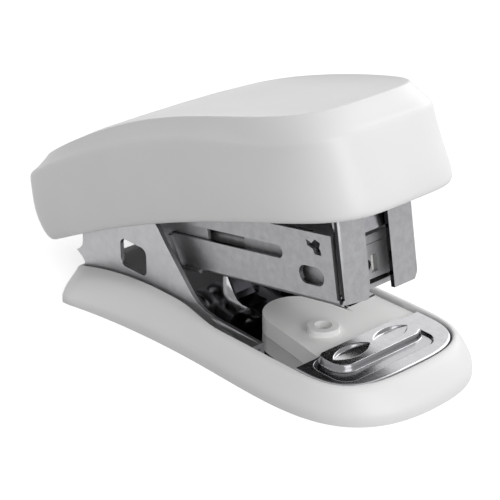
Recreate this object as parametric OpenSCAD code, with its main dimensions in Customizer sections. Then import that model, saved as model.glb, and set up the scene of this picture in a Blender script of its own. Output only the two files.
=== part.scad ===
// Mini stapler: a pressed steel frame and magazine between two moulded covers.
// Millimetres. +X points to the nose, +Z up, and the base stands on z = 0.
// The part is drawn at rest: magazine and cap both raised by their springs.

/* [Base] */
// Half width of the base cover at its waist
base_half = 15.6; // [15:0.1:16.5]
// How fast the base cover spreads in front of the waist
base_flare = 0.0066; // [0.005:0.0002:0.008]
// How fast the base cover spreads behind the waist
base_flare_back = 0.0031; // [0.0028:0.0001:0.0034]
// Front end of the base cover
base_front = 37.6; // [37:0.1:39]
// Back end of the base cover
base_back = -28; // [-28.6:0.1:-27.6]
// Height of the rim of the base cover
rim_h = 4.75; // [4.6:0.05:5]
// Thickness of the floor of the base cover
cover_floor = 0.7; // [0.6:0.05:0.9]

/* [Steel sheet] */
// Outer half width of the base frame
frame_half = 10.5; // [10.3:0.1:10.6]
// Sheet thickness of the frame, magazine and handle frame
sheet = 0.7; // [0.6:0.05:0.8]
// Height of the top of the anvil pad
anvil_z = 5.1; // [4.9:0.05:5.2]

/* [Hinge] */
// Hinge axis, measured along the base
hinge_x = -19; // [-19.5:0.1:-18.5]
// Height of the hinge axis
hinge_z = 12.2; // [12:0.1:12.6]
// Radius of the hinge pin
pin_r = 1.3; // [1.2:0.05:1.4]
// Clearance round the pin in the parts that turn on it
pin_gap = 0.05; // [0.03:0.01:0.08]

/* [Magazine] */
// Angle at which the springs hold the magazine open
open_deg = 9.8; // [9:0.1:10.5]
// Outer half width of the magazine
mag_half = 7.4; // [7.4:0.05:7.5]
// Height of the magazine walls
mag_h = 10; // [9.8:0.1:10.2]
// Distance from the hinge axis to the front face of the magazine
mag_reach = 45.85; // [45.6:0.05:46.2]
// Height of the hinge axis over the underside of the magazine
mag_up = 6.75; // [6.6:0.05:6.9]

/* [Cap] */
// Further angle between the magazine and the cap, used up by a full stroke
stroke_deg = 9.7; // [9:0.1:10]
// Half width of the cap at its rim
cap_half = 14.2; // [14:0.1:14.6]
// Wall thickness of the cap
cap_wall = 1.8; // [1.6:0.1:2]

/* [Quality] */
// Points round each section of the two covers
ring_n = 64; // [48:8:72]

/* [Hidden] */
$fn = 64;

white = [0.93, 0.93, 0.92];
steel = [0.72, 0.73, 0.75];
dark_steel = [0.5, 0.51, 0.53];

frame_x = 0.8;                          // from the drawing's zero to the middle of the part
frame_floor = cover_floor + sheet;      // top of the frame's floor
frame_in = frame_half - sheet;          // inner half width of the base frame
mag_in = mag_half - sheet;              // inner half width of the magazine
handle_out = mag_half + 1.2;            // outer half width of the handle frame
handle_top = 5.6;                       // top of the handle frame over the hinge
rail_half = 5.2;                        // outer half width of the staple rail
rail_top = 6.2;                         // top of the rail over the magazine's underside
rail_t = 0.6;
rail_front = -2.6;
rail_back = -40.4;
rod_r = 0.8;
rod_w = 3.4;
pusher_len = 18;
pusher_half = 5.85;
pusher_top = 7.5;
block_back = -9;                        // back of the pusher's inner block
blade_back = 44;                        // back face of the driver blade from the hinge
blade_t = 0.5;
blade_half = 6.2;

// ---- Shared shapes -------------------------------------------------------

// Radius factor that turns a circle into a rounded square of exponent n
function squarish(t, n) = pow(pow(abs(cos(t)), n) + pow(abs(sin(t)), n), -1 / n);

// Plan outline from back to front: half + flare*d*d wide at d from mid, one flare
// for each end; bow draws the corners of the back end forward
function outline(back, front, half, mid, n_back, n_front, flares = [0, 0], bow = 0) = [
    for (i = [0 : ring_n - 1])
        let (
            t = 360 * i / ring_n,
            ahead = cos(t) >= 0,
            k = squarish(t, ahead ? n_front : n_back),
            d = (ahead ? front - mid : mid - back) * k * cos(t),
            y = k * sin(t) * (half + flares[ahead ? 1 : 0] * d * d)
        )
        [mid + d * (ahead ? 1 : 1 - bow * pow(abs(y), 3)), y]
];

// Faces of a skin through rings of ring_n points, closed by two end points
function skin_faces(rings) =
    let (first = rings * ring_n, last = first + 1)
    concat(
        [for (i = [0 : ring_n - 1]) [first, i, (i + 1) % ring_n]],
        [for (r = [0 : rings - 2], i = [0 : ring_n - 1])
            let (j = (i + 1) % ring_n, a = r * ring_n, b = a + ring_n)
            each [[a + i, b + i, b + j], [a + i, b + j, a + j]]],
        [for (i = [0 : ring_n - 1])
            let (a = (rings - 1) * ring_n)
            [last, a + (i + 1) % ring_n, a + i]]
    );

// Closed skin through a list of rings, each a list of 3-D points
module skin(rings, start, end) {
    points = concat([for (r = rings) each r], [start, end]);
    polyhedron(points = points, faces = skin_faces(len(rings)), convexity = 6);
}

// Side profile in X and Z, given as 2-D children, made w wide across Y
module across(half) {
    translate([0, half, 0])
        rotate([90, 0, 0])
            linear_extrude(height = 2 * half)
                children();
}

// Section in Y and Z, given as 2-D children, run from x0 to x1
module along(x0, x1) {
    translate([x0, 0, 0])
        rotate([90, 0, 90])
            linear_extrude(height = x1 - x0)
                children();
}

// Rectangle from corner a to corner b
module box2(a, b) {
    translate(a)
        square(b - a);
}

// Rectangle with rounded corners, from corner a to corner b
module round_box2(a, b, r) {
    for (x = [a.x + r, b.x - r], y = [a.y + r, b.y - r])
        translate([x, y])
            circle(r = r, $fn = 32);
    box2([a.x + r, a.y], [b.x - r, b.y]);
    box2([a.x, a.y + r], [b.x, b.y - r]);
}

// Section of a channel: floor at z0, walls to z1, bent with an outer radius r
module channel2(half, t, z0, z1, r) {
    difference() {
        round_box2([-half, z0], [half, z1 + r], r);
        round_box2([-half + t, z0 + t], [half - t, z1 + 2 * r], max(r - t, 0.2));
        box2([-half - 1, z1], [half + 1, z1 + 3 * r]);
    }
}

// Cylinder along Y between y0 and y1
module rod_y(r, y0, y1) {
    translate([0, y1, 0])
        rotate([90, 0, 0])
            cylinder(r = r, h = y1 - y0);
}

// Headed pin along Z: shank from z0 to z1 with a head beyond each end
module rivet(r, head_r, head_h, z0, z1) {
    translate([0, 0, z0])
        cylinder(r = r, h = z1 - z0);
    translate([0, 0, z0 - head_h])
        cylinder(r = head_r, h = head_h);
    translate([0, 0, z1])
        cylinder(r = head_r, h = head_h);
}

// Strip of spring steel through 2-D points in X and Z, half wide across Y
module strip(path, t, half) {
    n = len(path);
    function side(i) =
        let (
            a = path[max(i - 1, 0)],
            b = path[min(i + 1, n - 1)],
            d = (b - a) / norm(b - a)
        )
        [-d.y, d.x] * t / 2;
    across(half)
        polygon(concat(
            [for (i = [0 : n - 1]) path[i] + side(i)],
            [for (i = [n - 1 : -1 : 0]) path[i] - side(i)]));
}

// Places children drawn from the hinge axis: a_deg nose up
module at_hinge(a_deg) {
    translate([hinge_x, 0, hinge_z])
        rotate([0, -a_deg, 0])
            children();
}

// Places children drawn from the lower front edge of the magazine
module in_magazine() {
    at_hinge(open_deg)
        translate([mag_reach, 0, -mag_up])
            children();
}

// Places children drawn from the hinge in the cap's own directions
module in_cap() {
    at_hinge(open_deg + stroke_deg)
        children();
}

// ---- Base ----------------------------------------------------------------

// Rim height along the base: highest beside the ears, sinking towards the back end
function rim_at(x) = rim_h + 0.35 * (1 - ease(x, -4, 9)) - 0.0078 * pow(max(0, -6 - x), 2);

// 0 before a, 1 after b, eased between them
function ease(x, a, b) =
    let (t = min(1, max(0, (x - a) / (b - a))))
    t * t * (3 - 2 * t);

base_mid = 6;
base_bow = 0.000033;
skirt = outline(base_back, base_front, base_half, base_mid, 24, 2.35,
    [base_flare_back, base_flare], base_bow);

plate_back = 23;          // line from which the anvil plate rounds off to its front
plate_len = 10.1;
plate_half = 12.25;
plate_n = 3.3;
plate_gap = 0.15;

// Point of the pocket's wall beside point p of the skirt
function pocket_at(p) =
    let (
        d = p - [plate_back, 0],
        r = pow(pow(abs(d.x) / (plate_len + plate_gap), plate_n)
            + pow(abs(d.y) / (plate_half + plate_gap), plate_n), -1 / plate_n),
        w = frame_half + 0.4
            + (plate_half + plate_gap - frame_half - 0.4) * ease(p.x, -3, 8)
    )
    p.x > plate_back
        ? [plate_back, 0] + d * r
        : [max(p.x, base_back + 2.1), sign(p.y) * min(abs(p.y), w)];
pocket = [for (p = skirt) pocket_at(p)];

// Ring between the skirt and the pocket: f across, h up
function base_ring(f, h) = [
    for (i = [0 : ring_n - 1])
        let (p = skirt[i] * (1 - f) + pocket[i] * f)
        [p.x, p.y, h * rim_at(p.x)]
];

module base_cover() {
    // Share of the way in from the skirt, and of the rim height
    section = [[0, 0], [0.005, 0.16], [0.04, 0.3], [0.11, 0.42], [0.21, 0.54],
        [0.34, 0.68], [0.48, 0.81], [0.63, 0.92], [0.79, 0.98], [0.93, 0.99], [1, 0.95]];
    floor_ring = [for (p = pocket) [p.x, p.y, cover_floor]];
    color(white)
        difference() {
            skin(
                concat([for (s = section) base_ring(s[0], s[1])], [floor_ring]),
                [base_mid, 0, 0],
                [base_mid, 0, cover_floor]);
            for (x = rivet_x)
                translate([x, 0, -1])
                    cylinder(r = 2.4, h = 3);
        }
}

rivet_x = [9.5, 20.5];

flange_z = 4.2;

// Side of the frame: ear with a claw at the back, then a low wall
module frame_side2() {
    difference() {
        union() {
            polygon([[-25.4, cover_floor], [-25.4, 2.7], [-25.9, 3.3], [-27.3, 4.1],
                [-26.5, 4.6], [-25.8, 5.3], [-25.6, 6.3], [-25.6, hinge_z],
                [-24.4, 14.6], [-22.3, 16.1], [-20, 16.6], [-11.2, 16.6],
                [-9, 15.9], [-7.4, 14.4], [-5.8, 12.5], [-0.3, 6.6], [1, 5.5],
                [2.6, 4.9], [5, 4.5], [14.4, 4.2], [14.5, 2.1],
                [22.6, 2.1], [22.6, cover_floor]]);
        }
        round_box2([-16.3, 5.4], [-10.2, 9.9], 1.1);
        translate([hinge_x, hinge_z])
            circle(r = pin_r);
    }
}

module base_frame() {
    color(steel)
        difference() {
            union() {
                intersection() {
                    along(-28, 24)
                        channel2(frame_half, sheet, cover_floor, 17, 1.2);
                    across(frame_half + 1)
                        frame_side2();
                }
                // Lip turned out over the edge of the cover
                for (s = [-1, 1])
                    translate([0, 0, flange_z - sheet])
                        linear_extrude(height = sheet)
                            polygon([[4, s * (frame_half - 0.3)], [4, s * frame_half],
                                [8, s * (frame_half + 0.9)], [11, s * (frame_half + 1.5)],
                                [14.4, s * (frame_half + 1.6)], [14.4, s * (frame_half - 0.3)]]);
            }
            for (x = rivet_x)
                translate([x, 0, 0])
                    cylinder(r = 1, h = 3);
        }
}

lift_t = 0.5;             // return spring: thickness, half width and front end
lift_half = 1.7;
lift_front = 7.4;
deck_z = 4.1;
deck_back = [10.8, 0];    // centre of the round back end of the deck
deck_r = 5;
deck_front = 22.9;
deck_front_half = 7.2;
shelf_z = 2.4;            // underside of the deck's shelf
boss = [17.3, -1.2];

module deck_block() {
    color(white)
        difference() {
            union() {
                translate([0, 0, frame_floor])
                    linear_extrude(height = deck_z - frame_floor)
                        polygon(concat(
                            [for (a = [105 : 6 : 255]) deck_back + deck_r * [cos(a), sin(a)]],
                            [[deck_front, -deck_front_half], [deck_front, deck_front_half]]));
                // Shelf over the frame's edge, out to the wall of the pocket
                translate([14.7, 6, shelf_z])
                    cube([deck_front - 14.7, plate_half - 6.2, deck_z - shelf_z]);
                translate([boss.x, boss.y, deck_z])
                    cylinder(r = 2.3, h = 0.9);
            }
            translate([boss.x, boss.y, 2.6])
                cylinder(r = 1.2, h = 4);
            // Seat of the return spring
            translate([0, -lift_half, 0])
                cube([lift_front, 2 * lift_half, frame_floor + lift_t]);
            for (x = rivet_x)
                translate([x, 0, 0])
                    cylinder(r = 1, h = 3);
        }
}

module base_rivets() {
    color(dark_steel)
        for (x = rivet_x)
            translate([x, 0, 0]) {
                translate([0, 0, 0.2])
                    cylinder(r = 2, h = cover_floor - 0.2);
                translate([0, 0, cover_floor])
                    cylinder(r = 1, h = 3 - cover_floor);
            }
}

plate_z = 4.6;            // top of the anvil plate round its pad
anvil_x = 25.4;           // line on which the staple legs land
leg_y = 3.85;             // middle of each clinching groove
groove = 0.5;             // depth of each groove
trough = 0.45;            // depth of the channel round the pad

// Two arcs meeting in points, long across Y
module leaf2(length, width) {
    r = (length * length + width * width) / (4 * width);
    intersection() {
        translate([r - width / 2, 0])
            circle(r = r, $fn = 160);
        translate([width / 2 - r, 0])
            circle(r = r, $fn = 160);
    }
}

// Plan of the anvil plate drawn in by e
module plate2(e) {
    polygon([for (a = [-90 : 5 : 90])
        let (k = squarish(a, plate_n))
        [plate_back + (plate_len - e) * k * cos(a), (plate_half - e) * k * sin(a)]]);
}

// Channel round the pad, let into the plate: e narrower, from z up
module trough_at(z, e) {
    translate([0, 0, z])
        linear_extrude(height = 2)
            difference() {
                round_box2([plate_back + 0.25 + e / 2, -10.35 + e], [30.8 - e, 8.3 - e], 2.3);
                pad2(e);
            }
}

module pad2(e) {
    round_box2([plate_back - 0.7 - e, -8.4 - e], [28.3 + e, 8.4 + e], 2.5 + e);
}

// Deep drawn cup: flat border, channel, pad with two grooves, wall to the floor
module anvil_plate() {
    groove_r = (3.65 * 3.65 + groove * groove) / (2 * groove);
    color(steel)
        difference() {
            union() {
                translate([0, 0, plate_z - 0.9])
                    linear_extrude(height = 0.9)
                        plate2(0);
                translate([0, 0, plate_z - 0.5])
                    linear_extrude(height = anvil_z - plate_z + 0.5)
                        intersection() {
                            pad2(0);
                            translate([plate_back + 0.05, -20])
                                square(40);
                        }
                translate([0, 0, cover_floor])
                    linear_extrude(height = plate_z - cover_floor - 0.5)
                        difference() {
                            plate2(0);
                            plate2(sheet);
                        }
            }
            trough_at(plate_z - trough, 0.25);
            trough_at(plate_z - trough / 2, 0);
            for (s = [-1, 1])
                intersection() {
                    translate([anvil_x, s * leg_y, anvil_z - 1])
                        linear_extrude(height = 2)
                            leaf2(7.3, 3);
                    translate([anvil_x - 3, s * leg_y, anvil_z - groove + groove_r])
                        rotate([0, 90, 0])
                            cylinder(r = groove_r, h = 6, $fn = 240);
                }
        }
}

// ---- Hinge ---------------------------------------------------------------

module hinge_pin() {
    color(dark_steel)
        translate([hinge_x, 0, hinge_z]) {
            rod_y(pin_r, -frame_half, frame_half);
            for (s = [-1, 1])
                rod_y(1.6, s > 0 ? frame_half : -frame_half - 0.5,
                    s > 0 ? frame_half + 0.5 : -frame_half);
        }
}

module hinge_spacers() {
    inner = handle_out + 0.05;
    color(dark_steel)
        translate([hinge_x, 0, hinge_z])
            for (s = [-1, 1])
                difference() {
                    rod_y(2.6, s > 0 ? inner : -frame_in, s > 0 ? frame_in : -inner);
                    rod_y(pin_r, -20, 20);
                }
}

// Leaf held under the deck block that rises to lift the magazine
module return_spring() {
    low = frame_floor + lift_t / 2;
    color(steel)
        strip([[lift_front, low], [5.2, low], [4.4, low + 0.15], [3.6, 2.1], [2.8, 2.25],
            [0.9, 2.25], [0, 2.55], [-0.7, 3.3], [-2.3, 5.9], [-2.9, 6.9], [-3.5, 7.6],
            [-4.1, 7.62], [-4.7, 7.2]], lift_t, lift_half);
}

// ---- Magazine ------------------------------------------------------------

slot_low = 5.2;
slot_high = 7.1;
slot_front = -11;
mag_back = -33.2;

// Side of the magazine: walled trough in front, hinge arm along the top
module magazine_side2() {
    eye = [-mag_reach, mag_up];
    slot_r = (slot_high - slot_low) / 2;
    difference() {
        union() {
            translate([mag_back + 1, 1])
                circle(r = 1);
            polygon([[mag_back + 1, 0], [0, 0], [0, mag_h], [-30, mag_h],
                [-35.1, slot_low], [mag_back, 1]]);
            polygon([[-30, slot_high - 0.4], [-30, mag_h], [-42, mag_h],
                [eye.x, eye.y + 2.6], [eye.x, eye.y - 1]]);
            translate(eye)
                circle(r = 2.6);
        }
        translate([slot_front - slot_r, slot_low + slot_r])
            circle(r = slot_r);
        box2([-41, slot_low], [slot_front - slot_r, slot_high]);
        round_box2([-8.1, 2.45], [-3.3, 5.1], 1.3);
        // Pierced mark whose torn edge locks the rail
        polygon([[-6, 8.9], [-5, 8.5], [-4.3, 9.1], [-3.3, 8.7], [-3.6, 8], [-3, 6.9],
            [-4.6, 7], [-4.9, 7.7], [-5.9, 8.1]]);
        translate(eye)
            circle(r = pin_r + pin_gap);
    }
}

wing_gap = 2.27;          // half of the gap between the two front wings
wing_h = 12.4;
wing_edge = 7;            // outer edge of each wing beside its slit
wall_front = -1.2;        // front edge of the walls beside the slits
bead = 0.35;              // how far the turned edge stands out behind the trough

// The two front wings, turned in from the walls, seen from above
module wings2() {
    r = 0.9;
    difference() {
        round_box2([-4, -mag_half], [0, mag_half], r);
        box2([-5, -mag_in], [-sheet, mag_in]);
        box2([-2, -wing_gap], [1, wing_gap]);
    }
}

// Box between corners a and b in plan, over the whole height of the slits beside the wings
module slit(a, b) {
    translate([a.x, min(a.y, b.y), 1.1])
        cube([b.x - a.x, abs(b.y - a.y), wing_h]);
}

// Edge of the trough's wall, turned out behind and below, bead + 0.2 deep along Y
module bead_edge() {
    translate([0, bead + 0.2, 0])
        rotate([90, 0, 0])
            linear_extrude(height = bead + 0.2)
                polygon([[-35.6, 4.9], [-34, 1.2], [-33.7, 0.55], [-33.1, 0.05],
                    [-32.4, -0.1], [-29, 0], [-29.4, 0.4], [-32.3, 0.42], [-32.9, 0.55],
                    [-33.2, 0.9], [-34.8, 4.9]]);
}

module magazine() {
    color(steel)
        in_magazine()
            difference() {
                union() {
                    intersection() {
                        along(-50, -2)
                            channel2(mag_half, sheet, 0, mag_h, 0.9);
                        across(mag_half + 1)
                            magazine_side2();
                    }
                    for (y = [-mag_half - bead, mag_half - 0.2])
                        translate([0, y, 0])
                            bead_edge();
                    intersection() {
                        linear_extrude(height = mag_h)
                            wings2();
                        along(-5, 1)
                            round_box2([-mag_half, 0], [mag_half, 20], 0.9);
                    }
                    linear_extrude(height = wing_h)
                        intersection() {
                            wings2();
                            box2([-sheet, -mag_half], [0, mag_half]);
                        }
                }
                // Way out for the staple and the driver blade
                translate([-2.5, -mag_in, -1])
                    cube([2.5 - sheet, 2 * mag_in, 2]);
                // Slits beside the wings
                for (s = [-1, 1]) {
                    slit([wall_front, s * 9], [-sheet, s * (mag_in - 0.1)]);
                    slit([wall_front, s * 9], [1, s * wing_edge]);
                }
                // Corners trimmed off the lower edge of each wing
                along(-sheet - 0.01, 1) {
                    polygon([[-wing_gap - 0.5, -0.01], [-wing_gap + 1, -0.01],
                        [-wing_gap + 1, 6], [-wing_gap, 2]]);
                    polygon([[mag_half - 1.2, -0.01], [mag_half + 1, -0.01],
                        [mag_half + 1, 3], [mag_half, 1.8]]);
                    polygon([[-mag_half - 1, -0.01], [-wing_gap - 1, -0.01],
                        [-mag_half - 1, 0.7]]);
                }
            }
}

bracket_front = -27.5;
bracket_t = 0.6;
bracket_web_h = 3.3;

// Side of the inner bracket that ties the rail and the rod to the hinge
module bracket_side2() {
    eye = [-mag_reach, mag_up];
    difference() {
        union() {
            translate(eye)
                circle(r = 2.6);
            polygon([[eye.x, eye.y - 2.6], [-43, 4.6], [-36.6, 4.6], [-34.7, 1.2],
                [-33.9, 0.95], [bracket_front, 0.95], [bracket_front, 8.8],
                [bracket_front - 1, 9.6], [-42, 9.6], [eye.x, eye.y + 2.6]]);
        }
        translate(eye)
            circle(r = pin_r + pin_gap);
    }
}

module rear_bracket() {
    color(dark_steel)
        in_magazine() {
            for (y = [-mag_in, mag_in - bracket_t])
                translate([0, y + bracket_t, 0])
                    rotate([90, 0, 0])
                        linear_extrude(height = bracket_t)
                            bracket_side2();
            translate([rail_back - sheet, -mag_in + bracket_t / 2, 4.9])
                cube([sheet, 2 * mag_in - bracket_t, bracket_web_h]);
        }
}

module staple_rail() {
    color(steel)
        in_magazine()
            difference() {
                union() {
                    along(rail_back, rail_front)
                        difference() {
                            round_box2([-rail_half, sheet - 3], [rail_half, rail_top], 1.1);
                            round_box2([-rail_half + rail_t, sheet - 4],
                                [rail_half - rail_t, rail_top - rail_t], 0.5);
                            box2([-rail_half - 1, sheet - 5], [rail_half + 1, sheet]);
                        }
                    for (x = [rail_front - rail_t, rail_back])
                        translate([x, -rail_half + rail_t / 2, sheet + 0.6])
                            cube([rail_t, 2 * rail_half - rail_t, rail_top - sheet - 1]);
                }
                // Slot for the pusher's web
                translate([rail_back + 1.6, -1.1, rail_top - 1])
                    cube([rail_front - rail_back - 3, 2.2, 2]);
                // Window in the front tab
                translate([rail_front - 1, 0.85, 2.1])
                    cube([2, 1.1, 2.5]);
                translate([rail_back - 1, 0, rod_w])
                    rotate([0, 90, 0])
                        cylinder(r = rod_r, h = 60);
                // The bottom edge behind the magazine's floor is cut up
                translate([rail_back - 1, -8, -1])
                    cube([7.4, 16, 2.4]);
            }
}

module guide_rod() {
    color(steel)
        in_magazine()
            translate([rail_back, 0, rod_w])
                rotate([0, 90, 0]) {
                    cylinder(r = rod_r, h = rail_front - rail_back);
                    translate([0, 0, -0.6])
                        cylinder(r = 1.4, h = 0.6);
                }
}

// Steel hood that rides over the rail behind the staples
module pusher() {
    color(dark_steel)
        in_magazine()
            difference() {
                along(rail_front - pusher_len, rail_front)
                    difference() {
                        round_box2([-pusher_half, -3], [pusher_half, pusher_top], 0.9);
                        round_box2([-rail_half - 0.05, -4],
                            [rail_half + 0.05, rail_top + 0.05], 1.1);
                        box2([-8, -5], [8, sheet + 0.3]);
                    }
                // Hollow above the rail behind the turned down front end
                along(rail_front - pusher_len - 1, rail_front - rail_t)
                    box2([-rail_half + 0.4, 5], [rail_half - 0.4, pusher_top - rail_t]);
            }
}

// Moulded slider that hangs from the hood through the rail's slot
module pusher_block() {
    block_front = rail_front - rail_t - 0.2;
    color(white)
        in_magazine()
            difference() {
                union() {
                    translate([block_back, -0.9, 4.5])
                        cube([block_front - block_back - 1.2, 1.8,
                            pusher_top - rail_t - 4.5]);
                    translate([block_back, -3.6, 1.7])
                        cube([block_front - block_back, 7.2, 3.6]);
                }
                translate([block_back - 1, 0, rod_w])
                    rotate([0, 90, 0])
                        cylinder(r = rod_r + 0.06, h = 10);
            }
}

// Closed tube of radius wire_r wound as a coil along X
module coil(x0, x1, turns, coil_r, wire_r) {
    per_turn = 12;
    sides = 6;
    steps = turns * per_turn;
    function ring_at(i) =
        let (a = 360 * i / per_turn, x = x0 + (x1 - x0) * i / steps)
        [for (s = [0 : sides - 1])
            let (b = 360 * s / sides, r = coil_r + wire_r * cos(b))
            [x + wire_r * sin(b), r * cos(a), r * sin(a)]];
    points = [for (i = [0 : steps]) each ring_at(i)];
    polyhedron(
        points = points,
        faces = concat(
            [[for (s = [0 : sides - 1]) s]],
            [for (i = [0 : steps - 1], s = [0 : sides - 1])
                let (a = i * sides, t = (s + 1) % sides)
                each [[a + s, a + sides + s, a + sides + t], [a + s, a + sides + t, a + t]]],
            [[for (s = [sides - 1 : -1 : 0]) steps * sides + s]]),
        convexity = 10);
}

module pusher_spring() {
    wire_r = 0.22;
    color(steel)
        in_magazine()
            translate([0, 0, rod_w])
                coil(rail_back + rail_t + wire_r + 0.03, block_back - wire_r - 0.03, 13, 1.5, wire_r);
}

// ---- Cap -----------------------------------------------------------------

// Heights over the hinge of the rim, shoulder and thumb pad along the cap
function cap_u(x) = (x - 20) / 35;
function cap_rim(x) = let (u = cap_u(x)) -0.15 + 0.49 * u - 2.45 * u * u;
function cap_shoulder(x) =
    let (u = cap_u(x))
    11.8 - 4.9 * u * u - 1.15 * u * u * u + 0.0112 * pow(max(0, x - 37), 2);
function cap_pad(x) =
    let (u = cap_u(x))
    14.31 + 0.19 * u - 5.11 * u * u + 0.93 * pow(u, 3) + 1.81 * pow(u, 4);
// Depth of the thumb pad's middle: crowned behind, hollowed in front
function cap_hollow(x) = 1.05 * ease(x, 2, 34) - 0.35;

cap_back = -19.2;
cap_front = 53.3;

// Plan of the cap drawn in by e at the sides, b at the back and f at the front
function cap_plan(e, b, f, n = 4.4) =
    outline(cap_back + b, cap_front - f, cap_half - e, 18, 6.5, n);
pad_plan = outline(-17.8, 50.4, 12, 14, 3, 3.9, [0.0012, 0.0012]);

function lift(plan, part, drop) = [
    for (p = plan)
        [p.x, p.y, cap_rim(p.x) * (1 - part) + cap_shoulder(p.x) * part - drop]
];
function lift_pad(scale, drop, hollow = 0) = [
    for (p = pad_plan)
        let (x = 18 + (p.x - 18) * scale)
        [x, p.y * scale, cap_pad(x) - drop - hollow * cap_hollow(x)]
];
// Ring at f of the way from a to b, held out towards a near the front
function between(a, b, f, drop) = [
    for (i = [0 : ring_n - 1])
        let (g = pow(f, 1 + 0.25 * ease(a[i].x, 34, 50)), p = a[i] * (1 - g) + b[i] * g)
        [p.x, p.y, a[i].z * (1 - f) + b[i].z * f - drop]
];

// Rings of the cap's skin: from the middle of its inside out to the rim
cap_inner = [
    lift_pad(0.3, 2.7),
    lift_pad(0.7, 2.6),
    lift(cap_plan(cap_wall + 2, cap_wall + 1.5, cap_wall + 3), 1, 1.6),
    lift(cap_plan(cap_wall + 0.5, cap_wall, cap_wall + 1), 0.85, 0.4),
    lift(cap_plan(cap_wall, cap_wall + 0.3, cap_wall + 0.2), 0.3, 0),
    lift(cap_plan(cap_wall - 0.1, cap_wall + 2.7, cap_wall), 0.02, 0)
];

// Then up the outside, over the shoulder and the concave band, to the pad
cap_outer = let (
        sh = lift(cap_plan(0.9, 0.6, 1.5, 5.4), 1, 0),
        pad = lift_pad(1, 0)
    ) [
        lift(cap_plan(0.8, 3.9, 0.9), 0, 0),
        lift(cap_plan(0.35, 3.2, 0.4), 0, 0),
        lift(cap_plan(0.05, 2.3, 0.1), 0.04, 0),
        lift(cap_plan(-0.05, 1.5, 0), 0.12, 0),
        lift(cap_plan(-0.05, 0.6, 0.1), 0.27, 0),
        lift(cap_plan(0.1, -0.1, 0.4), 0.5, 0),
        lift(cap_plan(0.5, 0, 0.9, 4.8), 0.85, 0),
        lift(cap_plan(0.7, 0.15, 1.2, 5.2), 1, 0.45),
        sh,
        between(sh, pad, 0.3, 0.12),
        between(sh, pad, 0.65, 0.1),
        between(sh, pad, 0.88, 0.02),
        pad,
        lift_pad(0.95, 0.04, 0.2),
        lift_pad(0.8, 0, 0.72),
        lift_pad(0.4, 0, 1)
    ];

rib_x = [15.5, 33.5, 43.5];

// Rib that stands on the handle frame and grips its sides
module rib2() {
    difference() {
        box2([-handle_out - 1, 2.2], [handle_out + 1, 13.4]);
        box2([-handle_out, 0], [handle_out, handle_top]);
    }
}

module top_cap() {
    color(white)
        in_cap() {
            skin(concat(cap_inner, cap_outer),
                [18, 0, cap_pad(18) - 2.7],
                [18, 0, cap_pad(18) - cap_hollow(18)]);
            for (x = rib_x)
                intersection() {
                    along(x, x + 1.2)
                        rib2();
                    translate([x, 0, cap_pad(x) - 1.8 - 20])
                        cube(40, center = true);
                }
        }
}

// Side of the handle frame, from the hinge eye to the driver
module handle_side2() {
    difference() {
        union() {
            circle(r = 3.1);
            polygon([[0, -3.1], [0, 3.1], [5, handle_top], [handle_front, handle_top],
                [handle_front, 2.9], [40, 1.2], [10, 0.2]]);
        }
        circle(r = pin_r + pin_gap);
    }
}

handle_front = 44.8;      // front edge of the handle frame, behind the wings
driver_rivet_y = 3.6;
driver_rivet_x = 40;
spring_rivet_x = 29;
under_plate = handle_top - sheet;

module handle_frame() {
    color(steel)
        in_cap()
            difference() {
                union() {
                    for (y = [-handle_out, handle_out - sheet])
                        translate([0, y + sheet, 0])
                            rotate([90, 0, 0])
                                linear_extrude(height = sheet)
                                    handle_side2();
                    translate([5, -handle_out, under_plate])
                        cube([handle_front - 5, 2 * handle_out, sheet]);
                }
                for (p = [[driver_rivet_x, driver_rivet_y], [driver_rivet_x, -driver_rivet_y],
                    [spring_rivet_x, 0]])
                    translate([p.x, p.y, under_plate - 1])
                        cylinder(r = 1, h = 3);
            }
}

module driver_blade() {
    bend = 1;
    color(steel)
        in_cap()
            difference() {
                across(blade_half)
                    difference() {
                        round_box2([35, -mag_up - 2], [blade_back + blade_t, under_plate], bend);
                        round_box2([34, -mag_up - 3],
                            [blade_back, under_plate - blade_t], bend - blade_t);
                        box2([33, -20], [36, 20]);
                        box2([33, -20], [60, -mag_up + 1.1]);
                    }
                for (s = [-1, 1])
                    translate([driver_rivet_x, s * driver_rivet_y, 0])
                        cylinder(r = 1, h = 10);
            }
}

module driver_rivets() {
    color(dark_steel)
        in_cap()
            for (s = [-1, 1])
                translate([driver_rivet_x, s * driver_rivet_y, 0])
                    rivet(1, 1.8, 0.45, under_plate - blade_t, handle_top);
}

// Leaf under the handle frame that holds the cap up off the magazine
module handle_spring() {
    t = 0.4;
    top = under_plate - t / 2;
    path = [[33, top], [26, top], [23, top - 0.15], [20, top - 0.8], [7.2, 1.2],
        [6.2, 0.9], [5.3, 0.84], [4.4, 1.1]];
    color(steel)
        in_cap()
            difference() {
                strip(path, t, 3.5);
                translate([spring_rivet_x, 0, 0])
                    cylinder(r = 1, h = 10);
            }
}

module spring_rivet() {
    color(dark_steel)
        in_cap()
            translate([spring_rivet_x, 0, 0])
                rivet(1, 1.8, 0.45, under_plate - 0.4, handle_top);
}

// Puts the middle of the whole part over the origin
module place() {
    translate([frame_x, 0, 0])
        children();
}

place() base_cover();
place() base_frame();
place() deck_block();
place() anvil_plate();
place() base_rivets();
place() hinge_pin();
place() hinge_spacers();
place() return_spring();
place() magazine();
place() rear_bracket();
place() staple_rail();
place() guide_rod();
place() pusher();
place() pusher_block();
place() pusher_spring();
place() top_cap();
place() handle_frame();
place() driver_blade();
place() driver_rivets();
place() handle_spring();
place() spring_rivet();
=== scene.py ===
"""Looks of a mini desk stapler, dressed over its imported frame.

The moulded covers, the anvil and the pusher's coil are built here as smooth pieces. The
pressed steel keeps the frame's own nodes, with rounded edges and a plated finish on each.
"""

import logging
import math
from dataclasses import dataclass
from enum import Enum
from functools import cache
from typing import Optional, Sequence, Union

import bpy
import numpy as np
from mathutils import Matrix, Vector


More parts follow.
